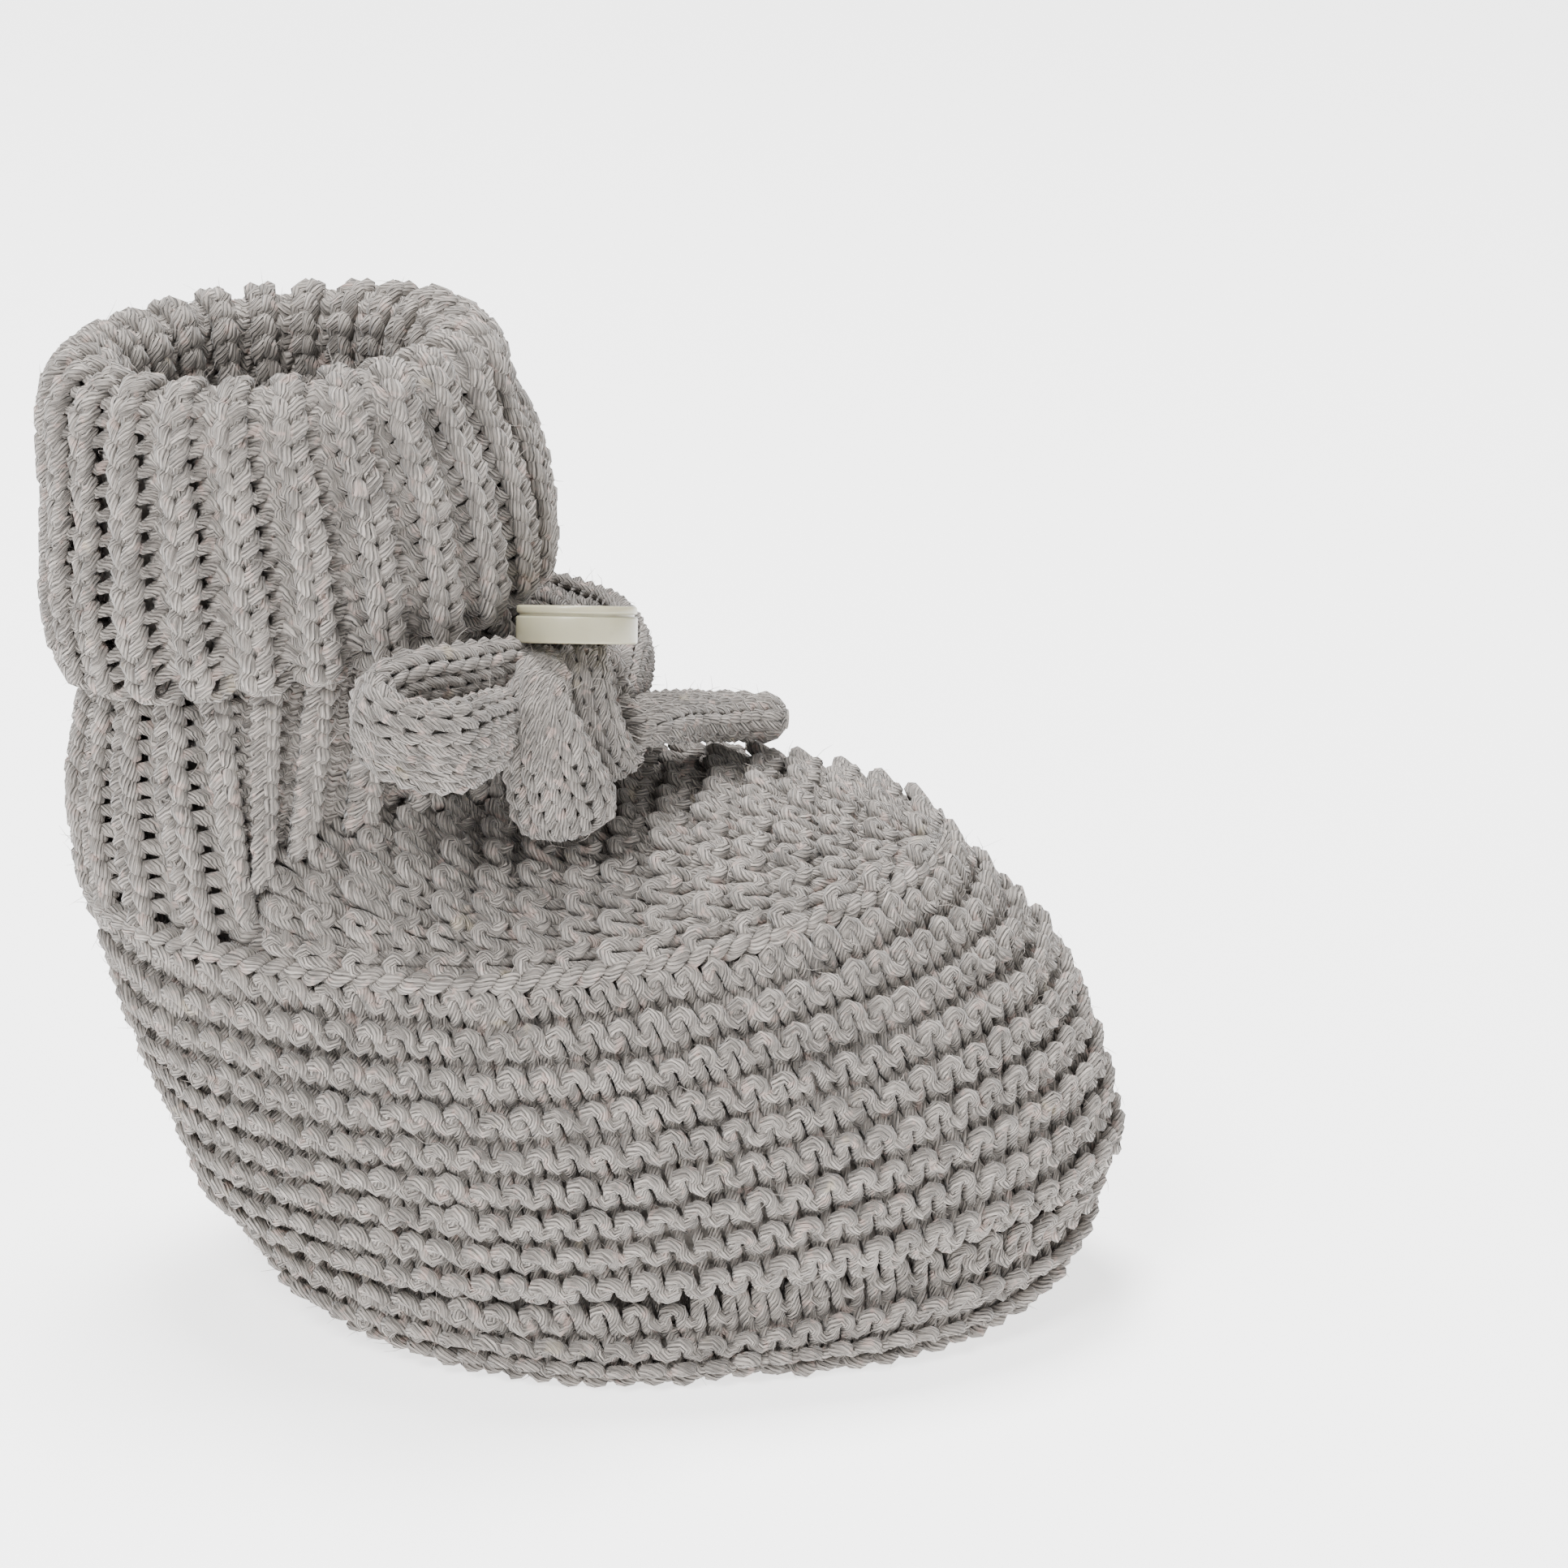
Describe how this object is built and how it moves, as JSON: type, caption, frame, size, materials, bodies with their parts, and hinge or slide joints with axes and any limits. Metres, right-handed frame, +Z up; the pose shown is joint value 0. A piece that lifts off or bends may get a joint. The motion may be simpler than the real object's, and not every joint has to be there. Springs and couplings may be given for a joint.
{
  "type": "knitted baby bootee sock",
  "caption": "Hand-knitted baby sock in bootee form: garter-stitch foot, ribbed ankle with turned-down cuff, knitted-cord bow and a disc button.",
  "frame": {"origin": "centre of the bootee's plan box, without the bow, on the surface that the sole rests on", "axes": "+Z up, -Y towards the toe, +X across the foot"},
  "size_m": [0.0654, 0.1023, 0.0957],
  "materials": {
    "knit": "soft warm-grey melange wool in garter stitch",
    "rib": "soft warm-grey melange wool in single rib",
    "cord": "flat knitted cord of the same wool",
    "button": "smooth cream, slightly translucent"
  },
  "bodies": {
    "root": {"sole": "knit", "foot_band": "knit", "instep": "knit", "ankle_cuff": "rib", "bow_loop_left": "cord", "bow_loop_right": "cord", "bow_tail_front": "cord", "bow_tail_side": "cord", "bow_knot": "cord", "button": "button"}
  },
  "joints": []
}
